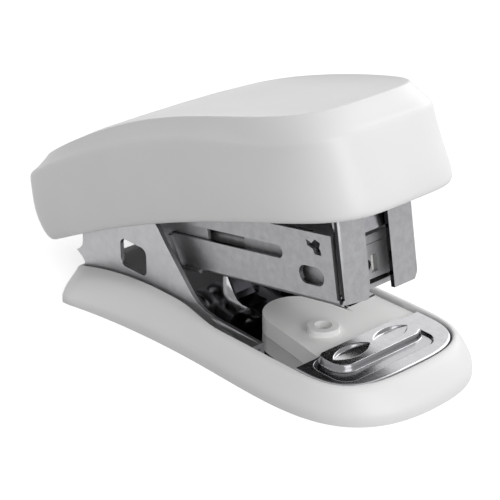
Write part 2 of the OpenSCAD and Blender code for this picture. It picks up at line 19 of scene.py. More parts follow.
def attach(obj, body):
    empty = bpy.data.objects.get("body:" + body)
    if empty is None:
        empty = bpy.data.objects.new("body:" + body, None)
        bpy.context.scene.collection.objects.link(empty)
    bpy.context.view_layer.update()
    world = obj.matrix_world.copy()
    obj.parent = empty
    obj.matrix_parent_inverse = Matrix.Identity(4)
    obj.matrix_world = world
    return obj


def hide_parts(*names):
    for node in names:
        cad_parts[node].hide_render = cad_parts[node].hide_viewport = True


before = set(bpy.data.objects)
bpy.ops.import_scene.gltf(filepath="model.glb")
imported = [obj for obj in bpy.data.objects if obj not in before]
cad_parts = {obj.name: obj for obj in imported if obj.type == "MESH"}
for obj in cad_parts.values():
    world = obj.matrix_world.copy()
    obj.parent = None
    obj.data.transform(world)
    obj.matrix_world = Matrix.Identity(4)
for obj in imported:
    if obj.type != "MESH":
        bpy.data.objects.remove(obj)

MM = 0.001
LOG = logging.getLogger("stapler")

# Named values shared with the frame's own source, in millimetres and degrees.
FRAME_X = 0.8
HINGE = (-19.0, 12.2)
OPEN_DEG = 9.8
STROKE_DEG = 9.7
MAG_REACH = 45.85
MAG_UP = 6.75
RIVET_X = (9.5, 20.5)

# Rounding on the edges of the pieces, in millimetres.
SHEET_EDGE = 0.12
TURNED_EDGE = 0.1
LEAF_EDGE = 0.08
# Angles from which an edge is rounded, and below which faces count as one, in degrees.
EDGE_DEG = 38.0
FLAT_DEG = 0.5

# Range that holds nearly all of a noise.
NOISE_RANGE = (0.3, 0.7)

Ring = np.ndarray
Box = tuple[float, float, float, float]
Point = tuple[float, ...]
Colour = tuple[float, float, float, float]
Material = bpy.types.Material
Tree = bpy.types.NodeTree
Socket = bpy.types.NodeSocket
Input = Union[Socket, float, Colour]


class Body(Enum):
    """Moving bodies of the frame that carry the pieces built here."""

    BASE = "base"
    MAGAZINE = "magazine"
    CAP = "cap"


class Slot(Enum):
    """Material slots of the record for the pieces built here; nothing here uses them."""

    WHITE_ABS = "white_abs"
    ANVIL_STEEL = "anvil_steel"
    SPRING_STEEL = "spring_steel"


# ---- Colour and shader nodes ----


def linear(code: str) -> Colour:
    """Turns an sRGB hex colour into linear light.

    Args:
        code: Six hex digits, such as "e8e8e6".

    Returns:
        Red, green, blue and an alpha of 1.
    """
    parts = [int(code[i : i + 2], 16) / 255 for i in (0, 2, 4)]
    red, green, blue = (
        c / 12.92 if c <= 0.04045 else ((c + 0.055) / 1.055) ** 2.4 for c in parts
    )
    return (red, green, blue, 1.0)


def add(
    tree: Tree,
    kind: str,
    inputs: Optional[dict[str | int, object]] = None,
    **settings: object,
) -> bpy.types.Node:
    """Adds a shader node with its settings, values and links.

    Args:
        tree: Node tree that takes the node.
        kind: Node type, without the leading "ShaderNode".
        inputs: Value, or socket to link from, for each named or numbered input.
        **settings: Attributes of the node.

    Returns:
        The new node.
    """
    made = tree.nodes.new("ShaderNode" + kind)
    for key, value in settings.items():
        setattr(made, key, value)
    for key, value in (inputs or {}).items():
        if isinstance(value, Socket):
            tree.links.new(value, made.inputs[key])
        else:
            made.inputs[key].default_value = value
    return made


def empty_material(name: str) -> tuple[Material, Tree]:
    """Makes a material whose tree holds nothing yet.

    Args:
        name: Name of the finish.

    Returns:
        The material and its node tree.
    """
    made = bpy.data.materials.new(name)
    made.use_nodes = True
    made.node_tree.nodes.clear()
    return made, made.node_tree


def noise(
    tree: Tree, place: Socket, size_mm: float, detail: float, roughness: float = 0.5
) -> Socket:
    """Adds a cloudy noise whose coarsest blots measure size_mm."""
    inputs = {
        "Vector": place,
        "Scale": 1 / (size_mm * MM),
        "Detail": detail,
        "Roughness": roughness,
    }
    return add(tree, "TexNoise", inputs).outputs["Fac"]


def spread(
    tree: Tree,
    value: Socket,
    source: tuple[float, float],
    target: tuple[float, float] = (0.0, 1.0),
) -> Socket:
    """Maps a value from the source range to the target range and clamps it there."""
    inputs = {"Value": value}
    inputs |= zip(("From Min", "From Max", "To Min", "To Max"), (*source, *target))
    return add(tree, "MapRange", inputs).outputs["Result"]


def blend(tree: Tree, share: Socket, first: Input, second: Input) -> Socket:
    """Mixes two colours: a share of 0 gives the first and 1 the second."""
    inputs = {0: share, 6: first, 7: second}
    return add(tree, "Mix", inputs, data_type="RGBA").outputs[2]


def bump(
    tree: Tree, height: Socket, depth_mm: float, under: Optional[Socket] = None
) -> Socket:
    """Presses a relief into the surface.

    Args:
        tree: Node tree that takes the node.
        height: Height of the relief, from 0 to 1.
        depth_mm: Its depth.
        under: Normal of a coarser relief that this one lies on.

    Returns:
        The normal socket.
    """
    inputs = {"Height": height, "Strength": 1.0, "Distance": depth_mm * MM}
    if under is not None:
        inputs["Normal"] = under
    return add(tree, "Bump", inputs).outputs["Normal"]


def reckon(tree: Tree, operation: str, first: Input, second: Input = 0.0) -> Socket:
    """Adds one step of arithmetic, on one value or two."""
    made = add(tree, "Math", {0: first, 1: second}, operation=operation)
    return made.outputs["Value"]


# ---- Finishes ----


@dataclass(frozen=True)
class MouldedPlastic:
    """Thermoplastic moulded in a fine spark-eroded tool.

    The eroded tool leaves a satin skin: a broad, weak highlight with a faint grain. Slow
    sinking over the ribs bends that highlight a little.

    Attributes:
        name: Name of the finish.
        colour: Lighter colour of the cloud in it.
        shade: Darker colour of that cloud.
        ior: Index of refraction.
        roughness: Mean roughness.
        rough_spread: How far the grain moves the roughness either way.
        grain_mm: Size of the grain.
        grain_depth_mm: Its depth.
        sink_mm: Size of the sink marks.
        sink_depth_mm: Their depth.
    """

    name: str
    colour: str
    shade: str
    ior: float = 1.54
    roughness: float = 0.42
    rough_spread: float = 0.05
    grain_mm: float = 0.35
    grain_depth_mm: float = 0.004
    sink_mm: float = 14.0
    sink_depth_mm: float = 0.02

    def material(self) -> Material:
        """Builds the finish.

        Returns:
            The material.
        """
        made, tree = empty_material(self.name)
        place = add(tree, "TexCoord").outputs["Object"]
        cloud = noise(tree, place, self.sink_mm, 2.0)
        grain = noise(tree, place, self.grain_mm, 3.0)
        share = spread(tree, cloud, NOISE_RANGE)
        low, high = self.roughness - self.rough_spread, self.roughness + self.rough_spread
        sink = bump(tree, cloud, self.sink_depth_mm)
        shader = add(
            tree,
            "BsdfPrincipled",
            {
                "Base Color": blend(tree, share, linear(self.shade), linear(self.colour)),
                "Roughness": spread(tree, grain, NOISE_RANGE, (low, high)),
                "IOR": self.ior,
                "Normal": bump(tree, grain, self.grain_depth_mm, sink),
            },
        )
        add(tree, "OutputMaterial", {"Surface": shader.outputs["BSDF"]})
        return made


@dataclass(frozen=True)
class PlatedSteel:
    """Cold-rolled steel, pressed and then plated with nickel or zinc.

    The rolls leave fine lines along the strip and the plating a soft mottle, so white
    surroundings come back as an even, silky grey. The inner faces of a channel can have a
    colour and roughness of their own: a clear mirror finish on the frame, and a nearly
    black painted shade on the magazine, which also falls on faces at its front. The
    bottom and the walls of a drawing can take a painted shade too.

    Attributes:
        name: Name of the finish.
        colour: Lighter colour of the mottle.
        shade: Darker colour of the mottle.
        roughness: Mean roughness.
        tilt_deg: How far the strip is turned nose up.
        rough_spread: Share by which the lines move the roughness either way.
        line_mm: Distance between the lines.
        line_depth_mm: Their depth.
        mottle_mm: Size of the mottle.
        mottle_depth_mm: Its depth.
        inside_mm: Half width within which a face is an inner one, or 0 for none.
        inside_front_mm: Where the inner faces end along the strip.
        shaded_front_mm: Where the faces at the front that take the painted shade begin.
        inner_finish_and_shade_colour: Colour of the inner faces and of those front faces:
            a finish of its own on the frame, a nearly black painted shade by default.
        inside_roughness: Their roughness.
        low_mm: Heights between which a painted shade on the bottom of a drawing fades
            out, or 0 for none.
        low_shade_colour: Painted shade on that bottom.
        steep_shade_colour: Painted shade on its walls.
    """

    name: str
    colour: str
    shade: str
    roughness: float
    tilt_deg: float = 0.0
    rough_spread: float = 0.15
    line_mm: float = 0.14
    line_depth_mm: float = 0.0003
    mottle_mm: float = 1.1
    mottle_depth_mm: float = 0.0015
    inside_mm: float = 0.0
    inside_front_mm: float = 1000.0
    shaded_front_mm: float = 1000.0
    # By default a nearly black painted shade; the frame gives a finish of its own.
    inner_finish_and_shade_colour: str = "2e2e30"
    inside_roughness: float = 0.07
    low_mm: tuple[float, float] = (0.0, 0.0)
    # Painted shade for the bottom and the walls of a drawing.
    low_shade_colour: str = "c6c6c8"
    steep_shade_colour: str = "808083"

    # Stretch of the lines along the strip.
    LINE_SCALE = (0.04, 1.0, 1.0)
    # Range of the mottle that the colour follows.
    MOTTLE_RANGE = (0.35, 0.65)
    # Forward part of the normal from which a face looks ahead.
    LOOKS_AHEAD = 0.6
    # Upward part of the normal on a wall, and on a flat face.
    UPWARD = (0.7, 0.93)

    def inside(self, tree: Tree, place: Socket, facing: Socket) -> Socket:
        """1 on the inner faces of a channel and on the faces at its front that take the
        painted shade.

        Args:
            tree: Node tree that takes the nodes.
            place: Point on the piece.
            facing: Normal at that point.

        Returns:
            The value socket.
        """
        level = add(
            tree,
            "Mapping",
            {"Vector": place, "Rotation": (0.0, math.radians(self.tilt_deg), 0.0)},
        ).outputs["Vector"]
        split = add(tree, "SeparateXYZ", {"Vector": level})
        along, across = split.outputs["X"], split.outputs["Y"]
        ahead = add(tree, "SeparateXYZ", {"Vector": facing}).outputs["X"]
        away = reckon(tree, "ABSOLUTE", across)
        within = reckon(tree, "LESS_THAN", away, self.inside_mm * MM)
        behind = reckon(tree, "LESS_THAN", along, self.inside_front_mm * MM)
        # Faces at the front that take the painted shade.
        shaded_front = reckon(tree, "GREATER_THAN", along, self.shaded_front_mm * MM)
        turned_away = reckon(tree, "LESS_THAN", ahead, self.LOOKS_AHEAD)
        channel = reckon(tree, "MULTIPLY", within, behind)
        either = reckon(tree, "MAXIMUM", channel, shaded_front)
        return reckon(tree, "MULTIPLY", either, turned_away)

    def drawn(self, tree: Tree, tint: Socket, place: Socket, facing: Socket) -> Socket:
        """Paints shade on the bottom and the walls of a drawing.

        Args:
            tree: Node tree that takes the nodes.
            tint: Colour of the flat faces.
            place: Point on the piece.
            facing: Normal at that point.

        Returns:
            The colour socket.
        """
        height = add(tree, "SeparateXYZ", {"Vector": place}).outputs["Z"]
        upward = add(tree, "SeparateXYZ", {"Vector": facing}).outputs["Z"]
        fade = (self.low_mm[0] * MM, self.low_mm[1] * MM)
        low = spread(tree, height, fade, (1.0, 0.0))
        steep = spread(tree, upward, self.UPWARD, (1.0, 0.0))
        tint = blend(tree, low, tint, linear(self.low_shade_colour))
        return blend(tree, steep, tint, linear(self.steep_shade_colour))

    def material(self) -> Material:
        """Builds the finish.

        Returns:
            The material.
        """
        made, tree = empty_material(self.name)
        spot = add(tree, "TexCoord")
        place, facing = spot.outputs["Object"], spot.outputs["Normal"]
        along = add(
            tree,
            "Mapping",
            {
                "Vector": place,
                "Rotation": (0.0, math.radians(self.tilt_deg), 0.0),
                "Scale": self.LINE_SCALE,
            },
        ).outputs["Vector"]
        lines = noise(tree, along, self.line_mm, 2.0)
        mottle = noise(tree, place, self.mottle_mm, 4.0, 0.62)
        share = spread(tree, mottle, self.MOTTLE_RANGE)
        tint = blend(tree, share, linear(self.shade), linear(self.colour))
        swing = self.roughness * self.rough_spread
        low, high = self.roughness - swing, self.roughness + swing
        rough = spread(tree, lines, NOISE_RANGE, (low, high))
        # Painted shade on the bottom and the walls of a drawing.
        if self.low_mm[1]:
            tint = self.drawn(tree, tint, place, facing)
        # Inner faces take a colour of their own: a finish on the frame, a painted shade
        # on the magazine and on faces at its front.
        if self.inside_mm:
            inside = self.inside(tree, place, facing)
            tint = blend(tree, inside, tint, linear(self.inner_finish_and_shade_colour))
            rough = add(
                tree, "Mix", {0: inside, 2: rough, 3: self.inside_roughness}
            ).outputs[0]
        mottled = bump(tree, mottle, self.mottle_depth_mm)
        shader = add(
            tree,
            "BsdfPrincipled",
            {
                "Base Color": tint,
                "Metallic": 1.0,
                "Roughness": rough,
                "Normal": bump(tree, lines, self.line_depth_mm, mottled),
            },
        )
        add(tree, "OutputMaterial", {"Surface": shader.outputs["BSDF"]})
        return made


# Cover and cap: an even satin white with soft shading.
ABS = MouldedPlastic("white ABS, moulded satin", "ececec", "e9e9e9")
# Deck: the cover's white ABS painted a little lighter, as painted light on the deck in
# shade under the magazine; also a little clearer.
DECK_ABS_LIGHTENED = MouldedPlastic(
    "white ABS, moulded block, painted lighter", "f4f4f3", "f0f0ef", roughness=0.36, sink_mm=6.0
)
# Slider: a creamy white with a waxy sheen.
ACETAL = MouldedPlastic(
    "natural acetal, moulded", "e9e8e3", "e4e3de", ior=1.48, roughness=0.3
)
# Frame: silky grey outside, a clear mirror between the ears.
FRAME_STEEL = PlatedSteel(
    "dull nickel plated steel, pressed frame",
    "b4b4b6",
    "adadaf",
    0.36,
    inside_mm=9.9,
    inner_finish_and_shade_colour="cfcfd1",
    inside_roughness=0.06,
)
# Magazine: a darker, duller grey outside, and a nearly black painted shade inside the
# channel and on faces at its front.
MAGAZINE_STEEL = PlatedSteel(
    "dull nickel plated steel, pressed magazine",
    "a4a4a6",
    "9a9a9c",
    0.42,
    OPEN_DEG,
    inside_mm=7.05,
    inside_front_mm=25.0,
    shaded_front_mm=29.2,
)
# Edges of the frame: a painted highlight, a fine bright line along the rounding.
ARRIS_HIGHLIGHT_STEEL = PlatedSteel(
    "nickel plated steel, edge with painted highlight", "e6e6e8", "dcdcde", 0.14, OPEN_DEG
)
# Edges of the magazine: the same painted highlight, with a nearly black painted shade on
# those at the front.
BEAD_HIGHLIGHT_SHADE_STEEL = PlatedSteel(
    "nickel plated steel, bead with painted highlight and shade",
    "e6e6e8",
    "dcdcde",
    0.14,
    OPEN_DEG,
    inside_mm=0.01,
    shaded_front_mm=28.4,
)
# Anvil: bright and clear, with a painted shade on the walls round the channel and the
# grooves, and on the channel's bottom.
ANVIL_STEEL = PlatedSteel(
    "bright nickel plated steel, coined anvil",
    "d2d2d4",
    "cacacc",
    0.2,
    line_depth_mm=0.0001,
    mottle_depth_mm=0.0006,
    low_mm=(4.2, 4.5),
)
# Coil, driver and handle leaf: a hard grey with sharp highlights.
SPRING_STEEL = PlatedSteel(
    "spring steel, hardened strip", "a8a8ac", "9a9a9e", 0.22, OPEN_DEG
)
# Rail, bracket, hood and handle frame: a flat, dull grey.
INNER_STEEL = PlatedSteel(
    "zinc plated steel, pressed", "b4b4b6", "a8a8ab", 0.62, OPEN_DEG
)
# Return leaf: nearly black, with a clear sheen.
DARK_SPRING = PlatedSteel(
    "blued spring steel, rolled leaf", "4a4a4e", "3e3e42", 0.16, OPEN_DEG
)
# Pins, rivets and rod: bright grey.
PIN_STEEL = PlatedSteel("nickel plated steel, turned", "b0b0b3", "a6a6a9", 0.16)


Finish = Union[MouldedPlastic, PlatedSteel]


@cache
def built(finish: Finish) -> Material:
    """Builds a finish once for all the pieces that share it."""
    return finish.material()


# ---- Mesh helpers ----


def new_piece(
    name: str,
    points: Sequence[Sequence[float]],
    faces: Sequence[Sequence[int]],
    body: Body,
    finish: Finish,
    crease_deg: float = 42.0,
) -> bpy.types.Object:
    """Makes a smooth-shaded mesh that rides on a body.

    Args:
        name: Name of the piece.
        points: Corners in millimetres, in the frame of the whole part.
        faces: Corner numbers of each face.
        body: Frame body that carries the piece.
        finish: Its finish.
        crease_deg: Angle from which an edge stays sharp.

    Returns:
        The new object.
    """
    mesh = bpy.data.meshes.new(name)
    mesh.from_pydata([tuple(c * MM for c in p) for p in points], [], faces)
    mesh.validate()
    mesh.shade_smooth()
    mesh.set_sharp_from_angle(angle=math.radians(crease_deg))
    made = bpy.data.objects.new(name, mesh)
    bpy.context.scene.collection.objects.link(made)
    mesh.materials.append(built(finish))
    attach(made, body.value)
    LOG.info("built %s", name)
    return made


def round_edges(piece: bpy.types.Object, width_mm: float, segments: int = 2) -> None:
    """Rounds the edges of a pressed or turned piece, as plating and tumbling leave them.

    Args:
        piece: Object whose edges are sharp.
        width_mm: Width of the rounding.
        segments: Steps across it.
    """
    weld = piece.modifiers.new("weld", "WELD")
    weld.merge_threshold = 0.001 * MM
    flat = piece.modifiers.new("flat faces", "DECIMATE")
    flat.decimate_type = "DISSOLVE"
    flat.angle_limit = math.radians(FLAT_DEG)
    bevel = piece.modifiers.new("edge", "BEVEL")
    bevel.width = width_mm * MM
    bevel.segments = segments
    bevel.limit_method = "ANGLE"
    bevel.angle_limit = math.radians(EDGE_DEG)
    bevel.harden_normals = True
    bevel.miter_outer = "MITER_ARC"


def dress(
    node: str, finish: Finish, edge_mm: float, painted_edge: Optional[Finish] = None
) -> None:
    """Gives a frame node its finish and rounded edges.

    Args:
        node: Name of the node.
        finish: Its finish.
        edge_mm: Width of the rounding on its edges.
        painted_edge: Finish of the rounding, where it differs; it carries a painted
            highlight.
    """
    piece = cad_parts[node]
    for held in piece.material_slots:
        held.material = built(finish)
    round_edges(piece, edge_mm)
    # The rounding takes its own finish, painted brighter as a highlight.
    if painted_edge:
        piece.data.materials.append(built(painted_edge))
        piece.modifiers["edge"].material = len(piece.data.materials) - 1
    LOG.info("dressed %s", node)


# ---- Outlines and skins ----

RING_N = 192


def squarish(angle: np.ndarray, power: np.ndarray | float) -> np.ndarray:
    """Radius factor that turns a circle into a rounded square; 2 leaves the circle."""
    across, along = np.abs(np.cos(angle)), np.abs(np.sin(angle))
    return (across**power + along**power) ** (-1.0 / power)


def outline(
    back: float,
    front: float,
    half: float,
    mid: float,
    n_back: float,
    n_front: float,
    flares: tuple[float, float] = (0.0, 0.0),
    bow: float = 0.0,
) -> np.ndarray:
    """Plan outline of a cover.

    Args:
        back: Back end in X.
        front: Front end in X.
        half: Half width at mid.
        mid: X of the waist or the widest place.
        n_back: Squareness of the back.
        n_front: Squareness of the front.
        flares: Growth of the half width with the square of the distance from mid,
            behind and in front of it.
        bow: How far the corners of the back end are drawn forward.

    Returns:
        RING_N points in X and Y.
    """
    angle = np.linspace(0, 2 * math.pi, RING_N, endpoint=False)
    ahead = np.cos(angle) >= 0
    k = squarish(angle, np.where(ahead, n_front, n_back))
    d = np.where(ahead, front - mid, mid - back) * k * np.cos(angle)
    y = k * np.sin(angle) * (half + np.where(ahead, flares[1], flares[0]) * d * d)
    d *= np.where(ahead, 1.0, 1.0 - bow * np.abs(y) ** 3)
    return np.stack([mid + d, y], axis=1)


def ease(x: np.ndarray, a: float, b: float) -> np.ndarray:
    """0 before a, 1 after b and eased between them."""
    t = np.clip((x - a) / (b - a), 0, 1)
    return t * t * (3 - 2 * t)


def smooth_rings(rings: Sequence[Ring], steps: int) -> list[Ring]:
    """Adds rings between those given, on a centripetal spline through them.

    Args:
        rings: Rings of equal length, each N by 3.
        steps: Steps from each ring to the next.

    Returns:
        The rings with those between them.
    """
    held = [rings[0], *rings, rings[-1]]
    made: list[Ring] = []
    for a, b, c, d in zip(held, held[1:], held[2:], held[3:]):
        spans = [
            np.maximum(np.linalg.norm(q - p, axis=1, keepdims=True), 1e-4) ** 0.5
            for p, q in ((a, b), (b, c), (c, d))
        ]
        t1 = spans[0]
        t2 = t1 + spans[1]
        t3 = t2 + spans[2]
        for step in range(steps):
            t = t1 + (t2 - t1) * step / steps
            ab = (t1 - t) / t1 * a + t / t1 * b
            bc = (t2 - t) / (t2 - t1) * b + (t - t1) / (t2 - t1) * c
            cd = (t3 - t) / (t3 - t2) * c + (t - t2) / (t3 - t2) * d
            abc = (t2 - t) / t2 * ab + t / t2 * bc
            bcd = (t3 - t) / (t3 - t1) * bc + (t - t1) / (t3 - t1) * cd
            made.append((t2 - t) / (t2 - t1) * abc + (t - t1) / (t2 - t1) * bcd)
    made.append(rings[-1])
    return made


def skin(rings: Sequence[Ring]) -> tuple[list[Point], list[list[int]]]:
    """Closes a list of rings into one skin. The first and last ring shrink to a point.

    Args:
        rings: Rings of equal length.

    Returns:
        Points and faces.
    """
    n = len(rings[0])
    points = [tuple(rings[0][0])]
    for ring in rings[1:-1]:
        points.extend(tuple(p) for p in ring)
    points.append(tuple(rings[-1][0]))
    last = len(points) - 1
    faces = [[0, 1 + i, 1 + (i + 1) % n] for i in range(n)]
    for r in range(len(rings) - 3):
        a, b = 1 + r * n, 1 + (r + 1) * n
        for i in range(n):
            j = (i + 1) % n
            faces.append([a + i, b + i, b + j, a + j])
    a = 1 + (len(rings) - 3) * n
    faces.extend([last, a + (i + 1) % n, a + i] for i in range(n))
    return points, faces


def tube(rings: int, sides: int, first: int = 0) -> list[list[int]]:
    """Faces of a closed tube of equal rings.

    Args:
        rings: Number of rings.
        sides: Points in each, anticlockwise seen from the last ring.
        first: Number of the first point.

    Returns:
        The faces.
    """
    last = first + (rings - 1) * sides
    faces = [[first + i for i in reversed(range(sides))]]
    faces.append([last + i for i in range(sides)])
    for a in range(first, last, sides):
        for i in range(sides):
            j = (i + 1) % sides
            faces.append([a + i, a + j, a + sides + j, a + sides + i])
    return faces


def turned(points: Sequence[Sequence[float]], degrees: float) -> list[Point]:
    """Turns points drawn from the hinge axis nose up, and puts them in place.

    Args:
        points: Points from the hinge axis, in millimetres.
        degrees: Angle, nose up.

    Returns:
        Points in the frame of the whole part.
    """
    c, s = math.cos(math.radians(degrees)), math.sin(math.radians(degrees))
    return [
        (FRAME_X + HINGE[0] + c * x - s * z, y, HINGE[1] + s * x + c * z)
        for x, y, z in points
    ]


# ---- Base ----


@dataclass
class Base:
    """Moulded base cover with the pressed frame and the deck that stand in it."""

    back: float = -28.0
    front: float = 37.6
    half: float = 15.6
    flares: tuple[float, float] = (0.0025, 0.0066)
    bow: float = 0.000033
    mid: float = 6.0
    n_back: float = 60.0
    n_front: float = 2.35
    rim_h: float = 4.75
    ear_rise: float = 0.35
    ear_fade: tuple[float, float] = (-4.0, 9.0)
    tail_x: float = -6.0
    tail_fall: float = 0.0078
    floor: float = 0.7
    brow_h: float = 0.15
    back_wall: float = 2.1
    pocket_half: float = 10.9
    pocket_fade: tuple[float, float] = (-3.0, 8.0)
    plate_back: float = 23.0
    plate_len: float = 10.25
    plate_half: float = 12.4
    plate_n: float = 3.3
    hole_r: float = 2.4
    hole_sides: int = 48
    frame_edge: float = 0.33
    deck_edge: float = 0.4

    # Shares of the way from the skirt to the pocket, and of the rim's height.
    SECTION = (
        (0, 0),
        (0.005, 0.16),
        (0.04, 0.3),
        (0.11, 0.42),
        (0.21, 0.54),
        (0.34, 0.68),
        (0.48, 0.81),
        (0.63, 0.92),
        (0.79, 0.98),
        (0.93, 0.99),
        (1, 0.95),
    )
    # Shares of the way from the skirt to the middle of the underside, and from the
    # pocket's wall to the middle of its floor.
    FOOT = (1.0, 0.6, 0.2, 0.02, 0.006)
    SEAT = (0.02, 0.3, 0.7, 1.0)
    # Steps from one ring of the section to the next.
    STEPS = 4

    def rim_at(self, x: np.ndarray) -> np.ndarray:
        """Rim height along the base: highest beside the ears, lowest at the back."""
        high = self.ear_rise * (1 - ease(x, *self.ear_fade))
        fall = self.tail_fall * np.maximum(0, self.tail_x - x) ** 2
        return self.rim_h + high - fall

    def pocket(self, skirt: np.ndarray) -> np.ndarray:
        """Wall of the pocket, one point beside each point of the skirt.

        Args:
            skirt: Outer outline of the cover.

        Returns:
            Points in X and Y.
        """
        x, y = skirt[:, 0], skirt[:, 1]
        away = np.abs(x - self.plate_back) / self.plate_len
        aside = np.abs(y) / self.plate_half
        reach = (away**self.plate_n + aside**self.plate_n) ** (-1 / self.plate_n)
        wider = (self.plate_half - self.pocket_half) * ease(x, *self.pocket_fade)
        wide = self.pocket_half + wider
        nose = x > self.plate_back
        return np.column_stack(
            [
                np.where(
                    nose,
                    self.plate_back + (x - self.plate_back) * reach,
                    np.maximum(x, self.back + self.back_wall),
                ),
                np.where(nose, y * reach, np.sign(y) * np.minimum(np.abs(y), wide)),
            ]
        )

    def pierce(self, cover: bpy.types.Object) -> None:
        """Cuts the two rivet holes through the floor of the cover.

        Args:
            cover: The cover, still whole.
        """
        sides = self.hole_sides
        turn = np.linspace(0, 2 * math.pi, sides, endpoint=False)
        below, above = -1.0, self.floor + 0.4
        points: list[Point] = []
        faces: list[list[int]] = []
        for x in RIVET_X:
            for z in (below, above):
                points.extend(
                    (
                        (x + FRAME_X + self.hole_r * math.cos(a)) * MM,
                        self.hole_r * math.sin(a) * MM,
                        z * MM,
                    )
                    for a in turn
                )
            faces.extend(tube(2, sides, len(points) - 2 * sides))
        mesh = bpy.data.meshes.new("drill")
        mesh.from_pydata(points, [], faces)
        drill = bpy.data.objects.new("drill", mesh)
        bpy.context.scene.collection.objects.link(drill)
        cut = cover.modifiers.new("holes", "BOOLEAN")
        cut.operation = "DIFFERENCE"
        cut.solver = "EXACT"
        cut.object = drill
        held = bpy.context.evaluated_depsgraph_get()
        cover.data = bpy.data.meshes.new_from_object(cover.evaluated_get(held))
        cover.modifiers.clear()
        bpy.data.objects.remove(drill)
        bpy.data.meshes.remove(mesh)

    def cover(self) -> None:
        """Builds the moulded cover."""
        skirt = outline(
            self.back,
            self.front,
            self.half,
            self.mid,
            self.n_back,
            self.n_front,
            self.flares,
            self.bow,
        )
        pocket = self.pocket(skirt)
        rings = []
        for f, h in self.SECTION:
            plan = skirt * (1 - f) + pocket * f
            rings.append(np.column_stack([plan, h * self.rim_at(plan[:, 0])]))
        wall = smooth_rings(rings, self.STEPS)
        low, middle = wall[0], np.array([self.mid, 0])
        foot = [
            np.column_stack([low[:, :2] * (1 - f) + middle * f, low[:, 2]])
            for f in self.FOOT
        ]
        seat = np.column_stack([pocket, np.full(RING_N, self.floor)])
        brow = seat.copy()
        brow[:, 2] += self.brow_h
        inner = [
            np.column_stack([pocket * (1 - f) + middle * f, seat[:, 2]])
            for f in self.SEAT
        ]
        points, faces = skin([*foot, *wall, brow, seat, *inner])
        points = [(x + FRAME_X, y, z) for x, y, z in points]
        made = new_piece("base_shell", points, faces, Body.BASE, ABS)
        self.pierce(made)
        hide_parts("base_cover")

    def dress(self) -> None:
        """Gives the steel and moulded nodes of the base their finishes."""
        dress("base_frame", FRAME_STEEL, self.frame_edge, ARRIS_HIGHLIGHT_STEEL)
        dress("deck_block", DECK_ABS_LIGHTENED, self.deck_edge)
        dress("base_rivets", PIN_STEEL, TURNED_EDGE)
        dress("return_spring", DARK_SPRING, LEAF_EDGE)


